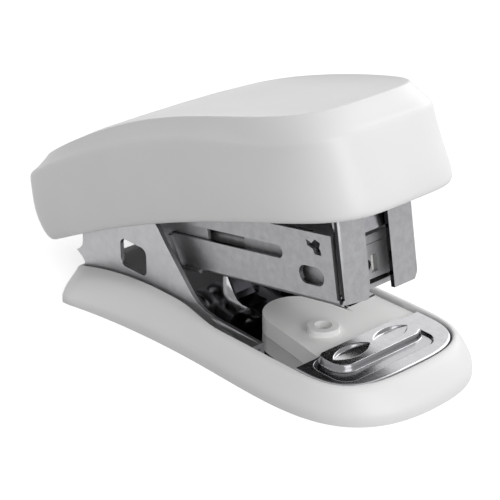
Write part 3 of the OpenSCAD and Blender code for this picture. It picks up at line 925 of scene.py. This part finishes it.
@dataclass
class Anvil:
    """Deep drawn anvil cup: flat border, channel, pad and two clinching grooves."""

    back: float = 23.0
    length: float = 10.1
    half: float = 12.25
    n: float = 3.3
    low: float = 0.7
    top: float = 4.6
    web: float = 0.9
    sheet: float = 0.7
    edge_r: float = 0.4
    edge_steps: int = 4
    pad_top: float = 5.1
    pad_box: Box = (22.3, -8.4, 28.3, 8.4)
    pad_corner: float = 2.5
    pad_slope: tuple[float, float] = (-0.36, 0.12)
    trough_box: Box = (23.3, -10.3, 30.75, 8.3)
    trough_corner: float = 2.3
    trough_slope: tuple[float, float] = (-0.45, 0.08)
    trough_deep: float = 0.45
    groove_x: float = 25.4
    groove_y: float = 3.85
    groove_half: float = 3.65
    groove_w: float = 3.0
    groove_deep: float = 0.5
    groove_slope: tuple[float, float] = (-0.34, 0.04)
    grid_turns: int = 341
    grid_rings: int = 110

    @staticmethod
    def off_box(x: np.ndarray, y: np.ndarray, box: Box, radius: float) -> np.ndarray:
        """Distance to the edge of a rounded box, negative inside it.

        Args:
            x: Points in X.
            y: Points in Y.
            box: Lowest X and Y, then highest X and Y.
            radius: Radius of its corners.

        Returns:
            One distance for each point.
        """
        across = np.abs(x - (box[0] + box[2]) / 2) - (box[2] - box[0]) / 2 + radius
        along = np.abs(y - (box[1] + box[3]) / 2) - (box[3] - box[1]) / 2 + radius
        out = np.hypot(np.maximum(across, 0), np.maximum(along, 0))
        return out + np.minimum(np.maximum(across, along), 0) - radius

    def height(self, x: np.ndarray, y: np.ndarray) -> np.ndarray:
        """Height of the upper face of the cup.

        Args:
            x: Points in X.
            y: Points in Y.

        Returns:
            One height for each point.
        """
        off_trough = self.off_box(x, y, self.trough_box, self.trough_corner)
        channel = 1 - ease(off_trough, *self.trough_slope)
        z = self.top - self.trough_deep * channel
        off_pad = self.off_box(x, y, self.pad_box, self.pad_corner)
        raised = 1 - ease(off_pad, *self.pad_slope)
        z = z + (self.pad_top - z) * raised
        half, wide = self.groove_half, self.groove_w
        reach = (half * half + wide * wide / 4) / wide
        sweep = (half * half + self.groove_deep**2) / (2 * self.groove_deep)
        aside = np.abs(np.abs(y) - self.groove_y)
        off = np.hypot(np.abs(x - self.groove_x) + reach - wide / 2, aside) - reach
        deep = np.sqrt(sweep**2 - np.minimum(aside, half) ** 2) - sweep
        deep = np.maximum(deep + self.groove_deep, 0)
        return z - deep * (1 - ease(off, *self.groove_slope))

    def cup(self) -> None:
        """Builds the cup."""
        angle = np.linspace(-math.pi / 2, math.pi / 2, self.grid_turns)
        k = squarish(angle, self.n)
        unit = np.column_stack([k * np.cos(angle), k * np.sin(angle)])
        unit[[0, -1], 0] = 0
        size = np.array([self.length, self.half])
        rings = []
        for f in np.linspace(0, 1, self.grid_rings + 1)[1:]:
            x, y = (unit * (size - self.edge_r) * f).T
            rings.append(np.column_stack([x, y, self.height(x + self.back, y)]))
        for step in range(1, self.edge_steps + 1):
            turn = math.radians(90.0 * step / self.edge_steps)
            c, s = math.cos(turn), math.sin(turn)
            x, y = (unit * (size - self.edge_r * (1 - s))).T
            z = self.top - self.edge_r * (1 - c)
            rings.append(np.column_stack([x, y, np.full(len(x), z)]))
        for inset, z in (
            (0.0, self.low),
            (self.sheet, self.low),
            (self.sheet, self.top - self.web),
        ):
            x, y = (unit * (size - inset)).T
            rings.append(np.column_stack([x, y, np.full(len(x), z)]))
        n = len(angle)
        crown = float(self.height(np.array([self.back]), np.zeros(1))[0])
        points = [(0.0, 0.0, crown)]
        for ring in rings:
            points.extend(tuple(p) for p in ring)
        points.append((0.0, 0.0, self.top - self.web))
        last = len(points) - 1
        faces = [[0, 1 + i, 2 + i] for i in range(n - 1)]
        for r in range(len(rings) - 1):
            a, b = 1 + r * n, 1 + (r + 1) * n
            faces.extend([a + i, b + i, b + i + 1, a + i + 1] for i in range(n - 1))
        a = 1 + (len(rings) - 1) * n
        faces.extend([last, a + i + 1, a + i] for i in range(n - 1))
        left = [1 + r * n for r in range(len(rings))]
        faces.append([0, *[v + n - 1 for v in left], last, *reversed(left)])
        made = new_piece(
            "anvil_cup",
            [(x + self.back + FRAME_X, y, z) for x, y, z in points],
            faces,
            Body.BASE,
            ANVIL_STEEL,
            crease_deg=50.0,
        )
        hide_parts("anvil_plate")


@dataclass
class Hinge:
    """Pin through the ears, with a spacer on each side."""

    edge: float = 0.14

    def dress(self) -> None:
        """Gives the pin and its spacers their finish."""
        dress("hinge_pin", PIN_STEEL, self.edge)
        dress("hinge_spacers", PIN_STEEL, self.edge)


# ---- Magazine ----


@dataclass
class Magazine:
    """Pressed channel with its rail, guide rod and rear bracket."""

    sheet_edge: float = SHEET_EDGE
    inner_edge: float = 0.1

    def dress(self) -> None:
        """Gives the nodes of the magazine their finishes."""
        dress("magazine", MAGAZINE_STEEL, self.sheet_edge, BEAD_HIGHLIGHT_SHADE_STEEL)
        dress("rear_bracket", INNER_STEEL, self.inner_edge)
        dress("staple_rail", INNER_STEEL, self.inner_edge)
        dress("guide_rod", PIN_STEEL, TURNED_EDGE)


@dataclass
class Pusher:
    """Steel hood, moulded slider and the coil that drives them forward."""

    coil_back: float = -39.55
    coil_front: float = -9.25
    coil_r: float = 1.5
    wire_r: float = 0.22
    wire_sides: int = 10
    turns: int = 13
    per_turn: int = 28
    closed_pitch: float = 0.3
    rod_w: float = 3.4

    def coil(self) -> None:
        """Winds the coil, with a closed turn at each end."""
        sides = self.wire_sides
        turn = np.linspace(0, self.turns, self.turns * self.per_turn + 1)
        pitch = np.where((turn < 1) | (turn > self.turns - 1), self.closed_pitch, 1.0)
        along = np.concatenate([[0], np.cumsum((pitch[1:] + pitch[:-1]) / 2)])
        x = self.coil_back + (self.coil_front - self.coil_back) * along / along[-1]
        points = []
        for centre, a in zip(x, turn * 2 * math.pi):
            for b in np.linspace(0, 2 * math.pi, sides, endpoint=False):
                r = self.coil_r + self.wire_r * math.cos(b)
                points.append(
                    (
                        centre + self.wire_r * math.sin(b) + MAG_REACH,
                        r * math.cos(a),
                        r * math.sin(a) - MAG_UP + self.rod_w,
                    )
                )
        # The rings of the wire run clockwise, so each face is turned over.
        faces = [[face[0], *face[:0:-1]] for face in tube(len(x), sides)]
        made = new_piece(
            "pusher_coil",
            turned(points, OPEN_DEG),
            faces,
            Body.MAGAZINE,
            SPRING_STEEL,
        )
        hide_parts("pusher_spring")

    def dress(self) -> None:
        """Gives the hood and the slider their finishes."""
        dress("pusher", INNER_STEEL, SHEET_EDGE)
        dress("pusher_block", ACETAL, SHEET_EDGE)


# ---- Cap ----


@dataclass
class Cap:
    """Moulded cap, drawn from the hinge axis in its own directions."""

    back: float = -19.2
    front: float = 53.3
    half: float = 14.2
    mid: float = 18.0
    n_back: float = 6.5
    wall: float = 1.8
    pad_back: float = -17.8
    pad_front: float = 50.4
    pad_half: float = 12.0
    pad_mid: float = 14.0
    pad_n: tuple[float, float] = (3.0, 3.9)
    pad_flare: float = 0.0012
    hollow_deep: float = 1.05
    hollow_fade: tuple[float, float] = (2.0, 34.0)
    crown: float = 0.35
    rib_x: tuple[float, ...] = (15.5, 33.5, 43.5)
    rib_t: float = 1.2
    rib_reach: float = 1.0
    rib_low: float = 2.2
    rib_under: float = 1.8
    handle_half: float = 8.6
    handle_top: float = 5.6

    # Steps from one ring of the section to the next.
    STEPS = 4

    @staticmethod
    def share(x: np.ndarray) -> np.ndarray:
        """Place along the cap as a share of its half length, 0 in the middle."""
        return (x - 20) / 35

    def rim(self, x: np.ndarray) -> np.ndarray:
        """Height of the rim along the cap."""
        u = self.share(x)
        return -0.15 + 0.49 * u - 2.45 * u * u

    def shoulder(self, x: np.ndarray) -> np.ndarray:
        """Height of the shoulder along the cap: it turns up again to the nose."""
        u = self.share(x)
        nose = 0.0112 * np.maximum(0, x - 37) ** 2
        return 11.8 - 4.9 * u * u - 1.15 * u**3 + nose

    def pad(self, x: np.ndarray) -> np.ndarray:
        """Height of the thumb pad along the cap."""
        u = self.share(x)
        return 14.31 + 0.19 * u - 5.11 * u * u + 0.93 * u**3 + 1.81 * u**4

    def hollow(self, x: np.ndarray) -> np.ndarray:
        """Depth of the pad's middle: crowned behind, hollowed in front."""
        return self.hollow_deep * ease(x, *self.hollow_fade) - self.crown

    def plan(self, e: float, b: float, f: float, n: float = 4.4) -> np.ndarray:
        """Plan drawn in by e at the sides, b at the back and f at the front."""
        back, front, half = self.back + b, self.front - f, self.half - e
        return outline(back, front, half, self.mid, self.n_back, n)

    def lift(self, plan: np.ndarray, part: float, drop: float) -> Ring:
        """Ring at a share of the way from the rim to the shoulder.

        Args:
            plan: Plan outline.
            part: 0 at the rim, 1 at the shoulder.
            drop: Distance below that height.

        Returns:
            The ring.
        """
        x = plan[:, 0]
        z = self.rim(x) * (1 - part) + self.shoulder(x) * part - drop
        return np.column_stack([plan, z])

    def lift_pad(self, scale: float, drop: float, hollow: float = 0.0) -> Ring:
        """Ring on the thumb pad.

        Args:
            scale: Size against the pad's own outline.
            drop: Distance below the pad's height.
            hollow: Share of the hollow.

        Returns:
            The ring.
        """
        plan = outline(
            self.pad_back,
            self.pad_front,
            self.pad_half,
            self.pad_mid,
            *self.pad_n,
            (self.pad_flare, self.pad_flare),
        )
        x = self.mid + (plan[:, 0] - self.mid) * scale
        z = self.pad(x) - drop - hollow * self.hollow(x)
        return np.column_stack([x, plan[:, 1] * scale, z])

    def between(self, a: Ring, b: Ring, f: float, drop: float) -> Ring:
        """Ring between shoulder and pad.

        Args:
            a: Shoulder ring.
            b: Pad ring.
            f: Share of the way from a to b.
            drop: Distance below that height.

        Returns:
            The ring.
        """
        g = (f ** (1 + 0.25 * ease(a[:, 0], 34, 50)))[:, None]
        plan = (a * (1 - g) + b * g)[:, :2]
        return np.column_stack([plan, a[:, 2] * (1 - f) + b[:, 2] * f - drop])

    def shell(self) -> None:
        """Builds the moulded shell."""
        w = self.wall
        inner = [
            self.lift_pad(0.0, 2.7),
            self.lift_pad(0.02, 2.7),
            self.lift_pad(0.3, 2.7),
            self.lift_pad(0.7, 2.6),
            self.lift(self.plan(w + 2, w + 1.5, w + 3), 1, 1.6),
            self.lift(self.plan(w + 0.5, w, w + 1), 0.85, 0.4),
            self.lift(self.plan(w, w + 0.3, w + 0.2), 0.3, 0),
            self.lift(self.plan(w - 0.1, w + 2.7, w), 0.02, 0),
        ]
        shoulder = self.lift(self.plan(0.9, 0.6, 1.5, 5.4), 1, 0)
        pad = self.lift_pad(1, 0)
        outer = [
            self.lift(self.plan(0.8, 3.9, 0.9), 0, 0),
            self.lift(self.plan(0.35, 3.2, 0.4), 0, 0),
            self.lift(self.plan(0.05, 2.3, 0.1), 0.04, 0),
            self.lift(self.plan(-0.05, 1.5, 0), 0.12, 0),
            self.lift(self.plan(-0.05, 0.6, 0.1), 0.27, 0),
            self.lift(self.plan(0.1, -0.1, 0.4), 0.5, 0),
            self.lift(self.plan(0.5, 0, 0.9, 4.8), 0.85, 0),
            self.lift(self.plan(0.7, 0.15, 1.2, 5.2), 1, 0.45),
            shoulder,
            self.between(shoulder, pad, 0.3, 0.12),
            self.between(shoulder, pad, 0.65, 0.1),
            self.between(shoulder, pad, 0.88, 0.02),
            pad,
            self.lift_pad(0.95, 0.04, 0.2),
            self.lift_pad(0.8, 0.0, 0.72),
            self.lift_pad(0.4, 0.0, 1.0),
            self.lift_pad(0.02, 0.0, 1.0),
            self.lift_pad(0.0, 0.0, 1.0),
        ]
        rings = smooth_rings([*inner, *outer], self.STEPS)
        points, faces = skin(rings)
        made = new_piece(
            "cap_shell",
            turned(points, OPEN_DEG + STROKE_DEG),
            faces,
            Body.CAP,
            ABS,
            crease_deg=70.0,
        )
        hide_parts("top_cap")

    def ribs(self) -> None:
        """Builds the ribs that stand on the handle frame and grip its sides."""
        out, inn = self.handle_half + self.rib_reach, self.handle_half
        low = self.rib_low
        points: list[Point] = []
        faces: list[list[int]] = []
        for back in self.rib_x:
            top = float(self.pad(np.array([back]))[0]) - self.rib_under
            ring = [
                (-out, low),
                (-inn, low),
                (-inn, self.handle_top),
                (inn, self.handle_top),
                (inn, low),
                (out, low),
                (out, top),
                (-out, top),
            ]
            faces.extend(tube(2, len(ring), len(points)))
            for x in (back, back + self.rib_t):
                points.extend((x, y, z) for y, z in ring)
        made = new_piece(
            "cap_ribs",
            turned(points, OPEN_DEG + STROKE_DEG),
            faces,
            Body.CAP,
            ABS,
        )
        round_edges(made, SHEET_EDGE)


@dataclass
class Handle:
    """Pressed handle frame in the cap, with the driver and the leaf riveted to it."""

    sheet_edge: float = SHEET_EDGE
    strip_edge: float = LEAF_EDGE

    def dress(self) -> None:
        """Gives the nodes of the handle their finishes."""
        dress("handle_frame", INNER_STEEL, self.sheet_edge)
        dress("driver_blade", SPRING_STEEL, self.strip_edge)
        dress("driver_rivets", PIN_STEEL, TURNED_EDGE)
        dress("handle_spring", SPRING_STEEL, self.strip_edge)
        dress("spring_rivet", PIN_STEEL, TURNED_EDGE)


# ---- Studio ----


def bearing(azimuth: float, elevation: float) -> Vector:
    """Direction of an elevation and an azimuth: 0 is the -Y side, 90 the nose."""
    a, e = math.radians(azimuth), math.radians(elevation)
    return Vector((math.sin(a) * math.cos(e), -math.cos(a) * math.cos(e), math.sin(e)))


@dataclass(frozen=True)
class Softbox:
    """Square softbox that faces the part."""

    name: str
    azimuth: float
    elevation: float
    size_mm: float
    watts: float
    distance: float = 0.6

    def hang(self) -> None:
        """Hangs the softbox in the studio."""
        back = bearing(self.azimuth, self.elevation)
        data = bpy.data.lights.new(self.name, "AREA")
        data.shape = "SQUARE"
        data.size = self.size_mm * MM
        data.energy = self.watts
        made = bpy.data.objects.new(self.name, data)
        made.location = back * self.distance
        made.rotation_mode = "QUATERNION"
        made.rotation_quaternion = (-back).to_track_quat("-Z", "Y")
        bpy.context.scene.collection.objects.link(made)


@dataclass(frozen=True)
class Studio:
    """White floor, soft lamps and the camera."""

    azimuth: float = 47.689
    elevation: float = 25.505
    roll: float = -0.149
    distance_mm: float = 246.75
    lens: float = 122.4
    sensor: float = 36.0
    clip: tuple[float, float] = (0.01, 10.0)
    target_mm: tuple[float, float, float] = (1.606, 0.0, 10.38)
    fill: float = 0.51
    floor_half: float = 3.0
    floor_lift: float = 0.76
    lamps: tuple[Softbox, ...] = (
        Softbox("key softbox, nose side", 80, 28, 420, 1.62),
        Softbox("far softbox", 180, 30, 420, 1.2),
    )

    def camera(self) -> None:
        """Places the camera."""
        a, r = math.radians(self.azimuth), math.radians(self.roll)
        back = bearing(self.azimuth, self.elevation)
        right = Vector((math.cos(a), math.sin(a), 0))
        up = back.cross(right)
        right, up = (
            right * math.cos(r) + up * math.sin(r),
            up * math.cos(r) - right * math.sin(r),
        )
        data = bpy.data.cameras.new("camera")
        data.lens = self.lens
        data.sensor_width = self.sensor
        data.clip_start, data.clip_end = self.clip
        made = bpy.data.objects.new("camera", data)
        turn = Matrix((right, up, back)).transposed().to_4x4()
        spot = Vector(self.target_mm) * MM + back * self.distance_mm * MM
        made.matrix_world = Matrix.Translation(spot) @ turn
        bpy.context.scene.collection.objects.link(made)
        bpy.context.scene.camera = made

    def seen(self, tree: Tree) -> Socket:
        """1 where the camera, a mirror or clear plastic looks at the backdrop.

        Args:
            tree: Node tree that takes the nodes.

        Returns:
            The value socket.
        """
        path = add(tree, "LightPath")
        glossy = path.outputs["Is Glossy Ray"]
        clear = path.outputs["Is Transmission Ray"]
        shiny = reckon(tree, "MAXIMUM", glossy, clear)
        return reckon(tree, "MAXIMUM", path.outputs["Is Camera Ray"], shiny)

    def floor(self) -> None:
        """Lays a matt white floor that keeps the part's shadow."""
        made, tree = empty_material("white card floor, matt")
        place = add(tree, "TexCoord").outputs["Object"]
        fibre = noise(tree, place, 0.8, 2.0)
        tint = blend(tree, fibre, linear("b6b6b6"), linear("bcbcbc"))
        card = add(
            tree, "BsdfDiffuse", {"Color": tint, "Roughness": 0.5}
        ).outputs["BSDF"]
        lift = reckon(tree, "MULTIPLY", self.seen(tree), self.floor_lift)
        glow = add(
            tree, "Emission", {"Color": linear("ffffff"), "Strength": lift}
        ).outputs["Emission"]
        both = add(tree, "AddShader", {0: card, 1: glow}).outputs["Shader"]
        add(tree, "OutputMaterial", {"Surface": both})
        mesh = bpy.data.meshes.new("floor")
        r = self.floor_half
        mesh.from_pydata(
            [(-r, -r, 0), (r, -r, 0), (r, r, 0), (-r, r, 0)], [], [(0, 1, 2, 3)]
        )
        mesh.materials.append(made)
        floor = bpy.data.objects.new("floor", mesh)
        bpy.context.scene.collection.objects.link(floor)

    def world(self) -> None:
        """Fills the room with a soft grey light behind a white backdrop."""
        made = bpy.data.worlds.new("studio")
        made.use_nodes = True
        tree = made.node_tree
        tree.nodes.clear()
        fill, white = (
            add(
                tree, "Background", {"Color": linear("ffffff"), "Strength": strength}
            ).outputs["Background"]
            for strength in (self.fill, 1.0)
        )
        mix = add(tree, "MixShader", {0: self.seen(tree), 1: fill, 2: white})
        add(tree, "OutputWorld", {"Surface": mix.outputs["Shader"]})
        bpy.context.scene.world = made

    def build(self) -> None:
        """Sets up the whole studio."""
        self.camera()
        self.floor()
        self.world()
        for lamp in self.lamps:
            lamp.hang()
        bpy.context.scene.view_settings.view_transform = "Standard"


# ---- Assembly ----


def main() -> None:
    """Builds and dresses the stapler."""
    logging.basicConfig(level=logging.INFO, format="%(message)s")
    bpy.context.view_layer.update()
    base = Base()
    base.cover()
    base.dress()
    Anvil().cup()
    Hinge().dress()
    Magazine().dress()
    pusher = Pusher()
    pusher.coil()
    pusher.dress()
    cap = Cap()
    cap.shell()
    cap.ribs()
    Handle().dress()
    Studio().build()


if __name__ == "__main__":
    main()
